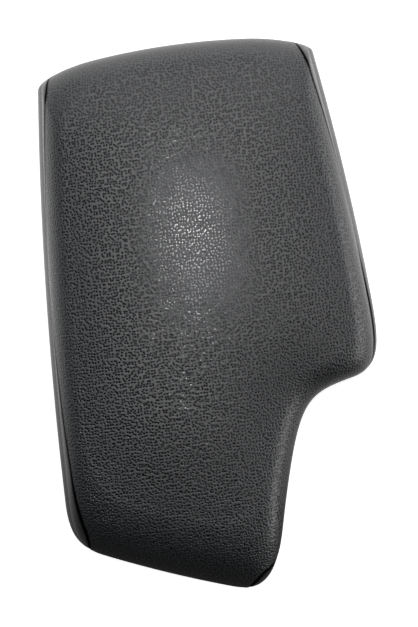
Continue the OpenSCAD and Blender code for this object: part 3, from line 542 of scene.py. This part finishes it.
def joined_rings(rings, first_line, last_line):
    """Closed mesh over stacked rings. Neighbouring rings are joined by quads, and the first and last ring are
    joined to the nearest points of their middle lines."""
    rows, n = rings.shape[:2]
    k = np.arange(n)
    following = (k + 1) % n
    base = np.arange(rows - 1)[:, None] * n
    quads = np.stack([base + k, base + n + k, base + n + following, base + following], -1).reshape(-1, 4)
    faces = quads.tolist()
    for ring, start, line, turn in ((rings[0], 0, 0, 1), (rings[-1], (rows - 1) * n, SPINE_POINTS, -1)):
        s = rows * n + line + np.round(spine_share(ring[:, 1]) * (SPINE_POINTS - 1)).astype(int)
        fan = np.stack([s, start + k, start + following], 1)[:, ::turn]
        step = np.stack([s, start + following, s[following]], 1)[s != s[following]][:, ::turn]
        faces += fan.tolist() + step.tolist()
    return np.concatenate([rings.reshape(-1, 3), first_line, last_line]), faces


def middle_line(z=None, depth=0.0):
    """Points of the middle line, at one height or at a depth below the crown."""
    line = spine(np.linspace(0, 1, SPINE_POINTS))
    if z is None:
        z = crown_height(line[None], EDGE_PULL.mean())[0] - depth
    return np.concatenate([line, np.broadcast_to(z, SPINE_POINTS)[:, None]], 1)


def rows_of(*values):
    """Rows of t that are the same all round the outline."""
    return np.repeat(np.concatenate(values)[:, None], RING, 1)


# The shell under the foam: rings of inset, corner blend and height from its flange up to its deck.
SHELL_T, RIM_FLANGE, DECK_H, SEAT_GAP, CLAMP_GAP = 2.5, 7.5, 29, 0.3, 0.15
edge_seat = wall_inset(0) + LEATHER_T + SEAT_GAP
shell_foot = edge_seat + RIM_FLANGE
shell_head = shell_foot + [2, 13, 2, 2, 2, 6]
flange_top = TURN_Z + LEATHER_T + CLAMP_GAP + SHELL_T
deck_rows = [(shell_foot, 0, flange_top), (shell_head, 0.6, DECK_H - 6),
    (shell_head + 1.8, 0.6, DECK_H - 1.8), (shell_head + 6, 0.6, DECK_H)]
foam_t = rows_of(np.linspace(2.94, 2, 14), np.linspace(1.9, 1, 10), np.linspace(0.9, 0.22, 6))
foam_depth = LEATHER_T + FOAM_GAP
foam_rings = np.concatenate([skin(foam_t) - foam_depth * outward(foam_t),
    np.stack([level(d - FOAM_SLIP, g, z + FOAM_SLIP) for d, g, z in deck_rows])])
points, faces = joined_rings(foam_rings, middle_line(depth=foam_depth), middle_line(z=DECK_H + FOAM_SLIP))
FOAM_CREAM, FOAM_PORE_SHADE = (0.58, 0.47, 0.24), (0.3, 0.22, 0.1)
FOAM_CELL = 0.8 * MM
foam_mat, foam_shader = new_material("moulded_foam", FOAM_CREAM, 0.9, Specular_IOR_Level=0.15)
cells = node(foam_mat, "TexVoronoi", {"Vector": object_place(foam_mat),
    "Scale": 1 / FOAM_CELL}).outputs["Distance"]
# The sunken pores are darker: painted shade.
link(foam_mat, ramp(foam_mat, cells, [(0.1, FOAM_PORE_SHADE), (0.5, FOAM_CREAM)]), foam_shader, "Base Color")
bump(foam_mat, foam_shader, cells, 0.2 * MM)
foam = new_piece("moulded_foam", points, faces, foam_mat)
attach(foam, "lid")
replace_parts(foam, "foam_pad")

# Leather top panel: one large grained hide, drawn over the foam and pulled down over the front, the rear and
# the cut-away, where it is turned in under the rim. Along both sides its edge is folded and sewn to a gusset.
LOW_END, TIP = -2, 0.15
LEFT_COURSE = [(0, LOW_END), (1, -1.4), (2, -0.8), (3, 0), (4, 0.9), (5, 1.35), (6.5, 1.46), (8.5, 1.32),
    (10.5, 1.1), (12, 1.3), (15, 1.54), (17.5, 1.52), (20, 1.35), (21, 0.8), (22, 0), (24, -1),
    (25, LOW_END)]
RIGHT_COURSE = [(26, LOW_END), (27, -1), (29, 0), (30, 0.5), (31, 1.1), (32.5, 1.36), (34, 1.36), (36, 1),
    (52, 1), (54, 0.9), (56, 0.86), (57.5, 1.05), (59, 1.24), (62, 1.5), (64, 1.38), (65, 1.1), (66, 0.5),
    (67, -0.2), (69, -1), (70, LOW_END)]
EVEN_OUT = 4
FOLD_R = LEATHER_T / 2
FOLD_ROWS, INNER_ROWS = 5, 14
SEAM_GAP = 0.04
T_STEP = 0.02


def seam_height(course):
    """Place of a seam on the scale t: straight lines between the course's points over the coarse steps K,
    each value averaged with its neighbours so that the line has no kinks."""
    line = np.interp(K, *np.array(course).T, left=LOW_END, right=LOW_END)
    even = sum(np.roll(line, shift) for shift in range(-EVEN_OUT, EVEN_OUT + 1)) / (2 * EVEN_OUT + 1)
    return np.maximum(LOW_END + TIP, even)


on_left = (K >= LEFT_COURSE[0][0]) & (K <= LEFT_COURSE[-1][0])
on_right = (K >= RIGHT_COURSE[0][0]) & (K <= RIGHT_COURSE[-1][0])
SEAM = np.select([on_left, on_right], [seam_height(LEFT_COURSE), seam_height(RIGHT_COURSE)], LOW_END)
sewn = on_left | on_right


def inner_rows(count):
    """Which rows of the outer face have a partner on the inner face, from the last to the first."""
    return np.unique(np.linspace(0, count - 1, INNER_ROWS).astype(int))[::-1]


def folded(t_rows, lift, fold_at_start):
    """Outer face of a leather piece plus its folded edges and its inner face. Each fold is a half circle of
    half the leather's thickness, from the outer face round to the inner one."""
    base, n = skin(t_rows), outward(t_rows)
    outer = base + n * lift[..., None]
    down = np.gradient(base, axis=0)
    down /= np.linalg.norm(down, axis=-1)[..., None]

    def fold(row, sign):
        turn = np.linspace(0, np.pi, FOLD_ROWS + 2)[1:-1, None, None]
        middle = outer[row] - n[row] * FOLD_R
        return middle + n[row] * FOLD_R * np.cos(turn) + sign * down[row] * FOLD_R * np.sin(turn)

    inner = (outer - n * LEATHER_T)[inner_rows(len(outer))]
    parts = [outer, fold(-1, 1), inner]
    if fold_at_start:
        parts.append(fold(0, -1)[::-1])
    return np.concatenate(parts)


def folded_values(values, fold_at_start):
    """A value for each point that folded() makes, from the outer face's values."""
    fold = np.repeat(values[-1:], FOLD_ROWS, 0)
    first_fold = np.repeat(values[:1], FOLD_ROWS if fold_at_start else 0, 0)
    return np.concatenate([values, fold, values[inner_rows(len(values))], first_fold])


def unrolled(t):
    """Plan of the face laid flat, in metres: the plan itself on the crown, and below it the crown's edge
    moved out by the length of the face down to each point. The grain keeps its size on it."""
    points = skin(t)
    edge = skin(np.full((1, RING), 2.0))[0, :, :2]
    way = skin(np.full((1, RING), 1.95))[0, :, :2] - edge
    way /= np.linalg.norm(way, axis=1)[:, None]
    steps = np.linalg.norm(np.diff(points, axis=0), axis=-1)
    down = np.concatenate([np.zeros((1, RING)), np.cumsum(steps, 0)])
    at_edge = np.argmax(t <= 2.0001, axis=0)
    past = down - down[at_edge, np.arange(RING)]
    below = (t < 2)[..., None]
    return np.where(below, edge + way * past[..., None], points[..., :2]) * MM


def keep_place(piece, places, rest):
    """Stores the laid-flat place of each point on the mesh. The points after these lie on the crown and keep
    their own plan."""
    flat = np.empty((len(piece.data.vertices), 3), np.float32)
    piece.data.vertices.foreach_get("co", flat.ravel())
    flat[:len(flat) - rest, :2] = places.reshape(-1, 2)
    flat[:, 2] = 0
    stored = piece.data.attributes.new("laid_flat", "FLOAT_VECTOR", "POINT")
    stored.data.foreach_set("vector", flat.ravel())


def keep_value(piece, name, values, rest):
    """Stores one value for each point on the mesh, for its material. The points after these get 0."""
    stored = piece.data.attributes.new(name, "FLOAT", "POINT")
    stored.data.foreach_set("value", np.concatenate([values.ravel(), np.zeros(rest)]).astype(np.float32))


def arc(points):
    """Length along each column of points from its last row, in millimetres."""
    steps = np.linalg.norm(np.diff(points, axis=0), axis=-1)
    return np.concatenate([np.cumsum(steps[::-1], 0)[::-1], np.zeros((1, points.shape[1]))])


def slant(t):
    """Sine of the angle between a line round the lid at t and the columns that it crosses. It turns a length
    along a column into the distance from that line."""
    line = skin(t[None])[0]
    way = np.roll(line, -1, 0) - np.roll(line, 1, 0)
    column = skin(t[None] + T_STEP)[0] - line
    crossed = np.linalg.norm(np.cross(way, column), axis=-1)
    return crossed / np.linalg.norm(way, axis=-1) / np.linalg.norm(column, axis=-1)


def seam_room(t):
    """Step on the scale t that leaves room beside a seam at t for a fold of half the leather's thickness and
    for half the gap."""
    column = np.linalg.norm(skin(t[None] + T_STEP)[0] - skin(t[None])[0], axis=1) / T_STEP
    return (FOLD_R + SEAM_GAP / slant(t)) / column


low = SEAM + np.where(sewn, seam_room(SEAM), 0)
TURN = 1.7
RIDGE, RIDGE_WIDTH, SHADOW_WIDTH = 0.15, 1.0, 0.9
STRETCH_FROM, STRETCH_BAND = 1.85, 0.45
crown_t = rows_of(np.linspace(2.97, 2, 36), np.linspace(1.96, TURN, 8))
cover_t = np.concatenate([crown_t, TURN + (low - TURN) * np.linspace(0, 1, 55)[1:, None]])
from_seam = arc(skin(cover_t)) * slant(low)
near_seam = np.exp(-(from_seam / RIDGE_WIDTH) ** 2) * sewn
# Painted shade along the seam, nearly black in the gap between the pieces.
painted_seam_shade = np.exp(-(from_seam / SHADOW_WIDTH) ** 4) * sewn
at_corner = ON_EDGE == 0
rear_share = np.select([(EDGE == 5) & at_corner, EDGE == 5, (EDGE == 0) & at_corner], [SHARE, 1.0, 1 - SHARE])
stretched = np.maximum(near_seam, rear_share * smooth((STRETCH_FROM - cover_t) / STRETCH_BAND))
cover_rings = folded(cover_t, RIDGE * near_seam, False)
points, faces = joined_rings(cover_rings, middle_line(), middle_line(depth=LEATHER_T))

LEATHER_BLACK = (0.0038, 0.004, 0.0045)
CELL = 1.7 * MM
GRAIN_DEPTH = 0.27 * MM
PIT_SCATTER, PIT_EDGE, NET_EDGE = 0.66, 0.17, 0.5
CREASE_LENGTH, CREASE_WIDTH, CREASE_TURN = 16 * MM, 3.4 * MM, np.radians(-28)
NET_SHARE, CREASE_SHARE, FINE_SHARE = 0.82, 0.12, 0.06
STRETCH_FADE = 0.85
# Base colour in the pits and on the net, as shares of the leather's colour: painted shade in the pits and
# painted light on the net. The pits also reflect less than the net, as painted shade.
PIT_PAINTED_SHADE, NET_PAINTED_LIGHT = 0.1, 3
PIT_GLOSS, NET_GLOSS = 1.0, 1.8
PIT_ROUGHNESS = 0.36


def grained_leather(name, colour, cell, depth, roughness, glint):
    """Embossed leather: small glossy pits in a dull net, crossed by slanting creases. The base colour follows
    the relief, with painted shade that darkens the pits and painted light that makes the net and creases
    paler, and the pits reflect less, as painted shade. The grain fades out where the hide is stretched, and
    painted shade makes a seam's gap nearly black."""
    made, shader = new_material(name, colour, roughness)
    place = node(made, "Attribute", attribute_name="laid_flat").outputs["Vector"]
    drift = node(made, "TexNoise", {"Vector": place, "Scale": 1 / (9 * cell), "Detail": 1.0}).outputs["Color"]
    bent = node(made, "VectorMath", {0: drift, 1: (1.6 * cell, 1.6 * cell, 0), 2: place},
        operation="MULTIPLY_ADD").outputs[0]
    pits = {"Vector": bent, "Scale": 1 / cell, "Randomness": PIT_SCATTER}
    far = node(made, "TexVoronoi", pits, feature="F1", voronoi_dimensions="2D").outputs["Distance"]
    net = node(made, "MapRange", {"Value": far, "From Min": PIT_EDGE, "From Max": NET_EDGE},
        interpolation_type="SMOOTHSTEP").outputs[0]
    turned = node(made, "Mapping", {"Vector": place, "Rotation": (0, 0, CREASE_TURN),
        "Scale": (1 / CREASE_LENGTH, 1 / CREASE_WIDTH, 1 / CREASE_WIDTH)}).outputs[0]
    flow = node(made, "TexNoise", {"Vector": turned, "Scale": 1.0, "Detail": 2.0}).outputs["Fac"]
    crease = ramp(made, flow, [(0.44, 0.0), (0.5, 1.0), (0.56, 0.0)])
    fine = noise(made, 0.3 * cell, 2.0)
    small = math(made, "ADD", math(made, "MULTIPLY", crease, CREASE_SHARE),
        math(made, "MULTIPLY", fine, FINE_SHARE))
    relief = math(made, "ADD", math(made, "MULTIPLY", net, NET_SHARE), small)
    stretched = node(made, "Attribute", attribute_name="stretched").outputs["Fac"]
    grained = math(made, "SUBTRACT", 1.0, math(made, "MULTIPLY", stretched, STRETCH_FADE))
    bump(made, shader, math(made, "MULTIPLY", relief, grained), depth)
    shade = math(made, "ADD", math(made, "MULTIPLY", math(made, "SUBTRACT", relief, 0.5), grained), 0.5)
    # Base colour from the relief: painted shade in the pits, painted light on the raised net and creases.
    dark = tuple(PIT_PAINTED_SHADE * c for c in colour)
    pale = tuple(NET_PAINTED_LIGHT * c for c in colour)
    tone = ramp(made, shade, [(0.1, dark), (0.5, colour), (0.9, pale)])
    # Painted seam shade: the gap attribute darkens the colour and the reflection nearly to black along the
    # seams.
    unshaded_share = math(made, "SUBTRACT", 1.0, node(made, "Attribute", attribute_name="gap").outputs["Fac"])
    shown = node(made, "VectorMath", {0: tone, "Scale": unshaded_share}, operation="SCALE").outputs[0]
    link(made, shown, shader, "Base Color")
    # Weaker reflection in the pits: painted shade.
    gloss = ramp(made, shade, [(0.15, PIT_GLOSS * glint), (0.75, NET_GLOSS * glint)])
    link(made, math(made, "MULTIPLY", unshaded_share, gloss), shader, "Specular IOR Level")
    link(made, ramp(made, shade, [(0.2, PIT_ROUGHNESS * roughness), (0.6, roughness)]), shader, "Roughness")
    return made


top_leather = grained_leather("grained_leather", LEATHER_BLACK, CELL, GRAIN_DEPTH, 0.45, 0.5)
cover = new_piece("leather_top_panel", points, faces, top_leather)
keep_place(cover, folded_values(unrolled(cover_t), False), 2 * SPINE_POINTS)
keep_value(cover, "stretched", folded_values(stretched, False), 2 * SPINE_POINTS)
# The seam's painted shade, kept as the gap attribute.
keep_value(cover, "gap", folded_values(painted_seam_shade, False), 2 * SPINE_POINTS)
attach(cover, "lid")
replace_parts(cover, "top_cover")

# Side gussets: two narrow strips of the same hide with a finer grain. Each is sewn to the top panel's folded
# edge, runs down the side and is turned in under the rim.
GUSSET_ROWS = 26
DIP, DIP_WIDTH, SEAM_SHADE_WIDTH = 0.15, 0.9, 1.3
GUSSET_BLACK = (0.012, 0.0124, 0.012)
GUSSET_CELL, GUSSET_GRAIN = 0.8 * MM, 0.04 * MM
gusset_leather = grained_leather("smooth_leather", GUSSET_BLACK, GUSSET_CELL, GUSSET_GRAIN, 0.42, 0.48)


def gusset(name, course, chosen):
    """The strip between the turned-in edge and the seam, over the chosen places. Both its ends are closed by
    a fan round the middle of the last section."""
    top = seam_height(course)
    top = top - seam_room(top)
    rows = top + (LOW_END - top) * np.linspace(0, 1, GUSSET_ROWS)[:, None] ** 1.5
    edge = arc(skin(rows))
    from_top = (edge[:1] - edge) * slant(top)
    near_top = np.exp(-(from_top / DIP_WIDTH) ** 2)
    loops = folded(rows, -DIP * near_top, True)[:, chosen]
    m, n = loops.shape[:2]
    j = np.arange(m)[:, None]
    below = (j + 1) % m
    k = np.arange(n - 1)
    walls = np.stack([j * n + k, below * n + k, below * n + k + 1, j * n + k + 1], -1).reshape(-1, 4)
    hubs = m * n + np.array([0, 1])
    j, below = j[:, 0], below[:, 0]
    first = np.stack([np.full(m, hubs[0]), below * n, j * n], 1)
    last = np.stack([np.full(m, hubs[1]), j * n + n - 1, below * n + n - 1], 1)
    points = np.concatenate([loops.reshape(-1, 3), loops[:, [0, -1]].mean(0)])
    made = new_piece(name, points, walls.tolist() + first.tolist() + last.tolist(), gusset_leather)
    laid = unrolled(np.concatenate([rows_of([2.0]), rows]))[1:]
    # Painted shade along the gusset's top, nearly black at the seam.
    painted_seam_shade = np.exp(-(from_top / SEAM_SHADE_WIDTH) ** 4)
    keep_place(made, folded_values(laid, True)[:, chosen], 2)
    keep_value(made, "gap", folded_values(painted_seam_shade, True)[:, chosen], 2)
    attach(made, "lid")
    return made


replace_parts(gusset("leather_left_gusset", LEFT_COURSE, on_left), "left_gusset")
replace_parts(gusset("leather_right_gusset", RIGHT_COURSE, on_right), "right_gusset")

# The studio: a pale floor under a white backdrop. Soft boxes stand high and low behind the armrest, above it,
# beside the camera and low on the right. Mirrored in the leather, floor and backdrop grow dark to the front.
FLOOR_WHITE, FLOOR_GLOW = (0.6, 0.6, 0.6), 0.85
SET_DARK, SET_LIGHT = -0.14, 0.03
ROOM_LIGHT = 0.3
floor_mesh = bpy.data.meshes.new("floor")
floor_mesh.from_pydata([(-4, -4, 0), (4, -4, 0), (4, 4, 0), (-4, 4, 0)], [], [(0, 1, 2, 3)])
floor = bpy.data.objects.new("floor", floor_mesh)
bpy.context.scene.collection.objects.link(floor)
floor_mat, floor_shader = new_material("floor", FLOOR_WHITE, 0.9, Specular_IOR_Level=0.0)
floor_mesh.materials.append(floor_mat)
rays = node(floor_mat, "LightPath").outputs
along_floor = node(floor_mat, "SeparateXYZ", {0: object_place(floor_mat)}).outputs["Y"]
to_front = node(floor_mat, "MapRange", {"Value": along_floor, "From Min": SET_DARK, "From Max": SET_LIGHT,
    "To Min": 0.06, "To Max": 1.0}).outputs[0]
mirrored = math(floor_mat, "ADD", rays["Is Glossy Ray"], rays["Is Transmission Ray"], True)
dimmed = math(floor_mat, "MULTIPLY", mirrored, math(floor_mat, "SUBTRACT", 1.0, to_front))
kept = math(floor_mat, "SUBTRACT", 1.0, dimmed)
floor_tone = node(floor_mat, "VectorMath", {0: FLOOR_WHITE, "Scale": kept}, operation="SCALE").outputs[0]
link(floor_mat, floor_tone, floor_shader, "Base Color")
floor_shader.inputs["Emission Color"].default_value = (1, 1, 1, 1)
seen = math(floor_mat, "ADD", rays["Is Camera Ray"], mirrored, True)
glow = math(floor_mat, "MULTIPLY", math(floor_mat, "MULTIPLY", seen, FLOOR_GLOW), kept)
link(floor_mat, glow, floor_shader, "Emission Strength")

world = bpy.data.worlds.new("studio")
bpy.context.scene.world = world
world.use_nodes = True
world_tree = world.node_tree
ambient = world_tree.nodes["Background"]
ambient.inputs["Strength"].default_value = ROOM_LIGHT
rays = node(world, "LightPath").outputs
seen = math(world, "ADD", math(world, "ADD", rays["Is Camera Ray"], rays["Is Glossy Ray"], True),
    rays["Is Transmission Ray"], True)
direction = node(world, "TexCoord").outputs["Generated"]
way = node(world, "SeparateXYZ", {0: direction}).outputs
ceiling = ramp(world, way["Z"], [(0.05, (0.9, 0.95, 1.0)), (0.5, (0.42, 0.45, 0.52)), (1.0, 0.06)])
to_rear = node(world, "MapRange", {"Value": way["Y"], "From Min": -0.45, "From Max": 0.35,
    "To Min": 0.08}).outputs[0]
backdrop = node(world, "Background", {"Color": ceiling, "Strength": to_rear})
white = node(world, "Background", {"Color": (1, 1, 1, 1), "Strength": 1.0})
shown = node(world, "MixShader", {"Fac": rays["Is Camera Ray"], 1: backdrop.outputs[0], 2: white.outputs[0]})
chosen = node(world, "MixShader", {"Fac": seen, 1: ambient.outputs[0], 2: shown.outputs[0]})
world_tree.links.new(chosen.outputs[0], world_tree.nodes["World Output"].inputs["Surface"])


def soft_box(name, place, aim, size, power):
    """A rectangular lamp that faces its aim."""
    lamp = bpy.data.lights.new(name, "AREA")
    lamp.shape = "RECTANGLE"
    lamp.size, lamp.size_y = size
    lamp.energy = power
    made = bpy.data.objects.new(name, lamp)
    made.location = place
    made.rotation_euler = (Vector(aim) - Vector(place)).to_track_quat("-Z", "Y").to_euler()
    bpy.context.scene.collection.objects.link(made)


soft_box("rear_box", (0.05, 0.85, 1.3), (0, 0.05, 0), (1.7, 0.8), 8.5)
soft_box("window_box", (0.2, 1.6, 0.6), (0, 0.1, 0), (1.8, 1.1), 8)
soft_box("top_box", (0.12, 0.52, 1.35), (0, 0.05, 0), (0.8, 0.6), 1.2)
soft_box("camera_box", (-0.02, 0.13, 1.35), (0, 0.02, 0), (0.12, 0.12), 4.8)
soft_box("right_box", (1.2, -0.3, 0.35), (0.05, -0.08, 0.03), (1.2, 0.7), 11)

bpy.context.scene.view_settings.view_transform = "Standard"
